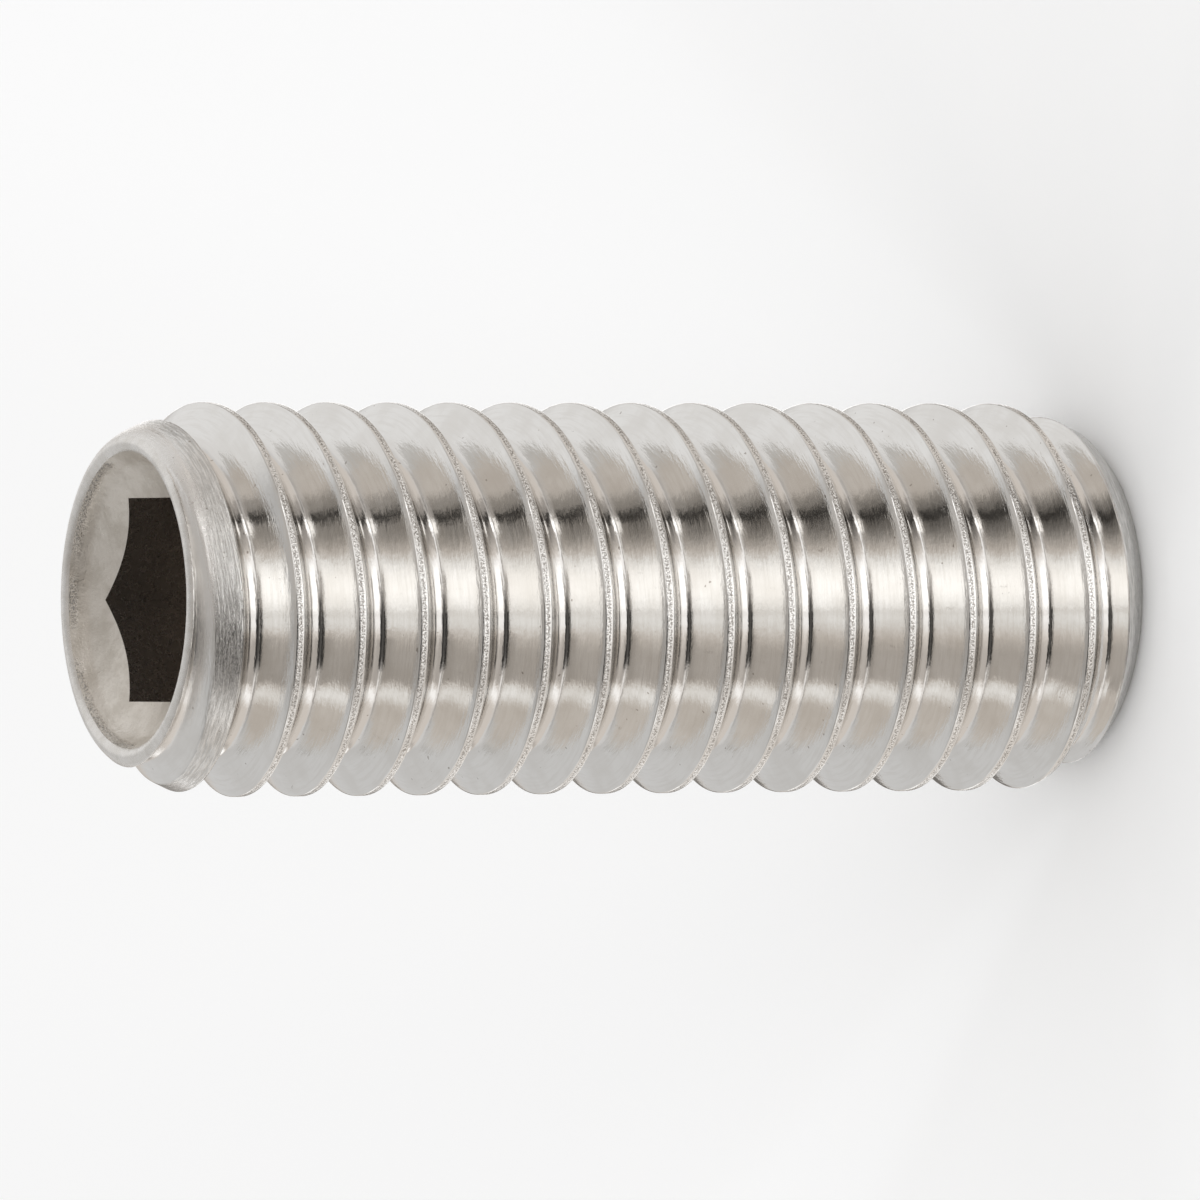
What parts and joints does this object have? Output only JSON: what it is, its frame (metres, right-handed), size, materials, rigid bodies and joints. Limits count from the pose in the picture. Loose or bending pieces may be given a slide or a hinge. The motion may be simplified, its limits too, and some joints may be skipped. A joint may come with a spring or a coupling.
{
  "type": "grub screw",
  "caption": "Headless stainless steel set screw with a coarse right-hand M6 thread, a countersunk 3 mm hexagon socket and a chamfered flat point.",
  "frame": {"origin": "centre of the flat point, on the surface that the screw stands on", "axes": "+Z along the screw's axis, from the flat point to the socket; +Y towards a corner of the hexagon, +X towards one of its flats"},
  "size_m": [0.0058, 0.0058, 0.0157],
  "materials": {
    "stainless_steel": "bare stainless steel: rolled, burnished thread flanks with fine lines round the screw, rougher crests, and a satin countersink, lip and chamfers"
  },
  "bodies": {
    "root": {"grub_screw": "stainless_steel"}
  },
  "joints": []
}
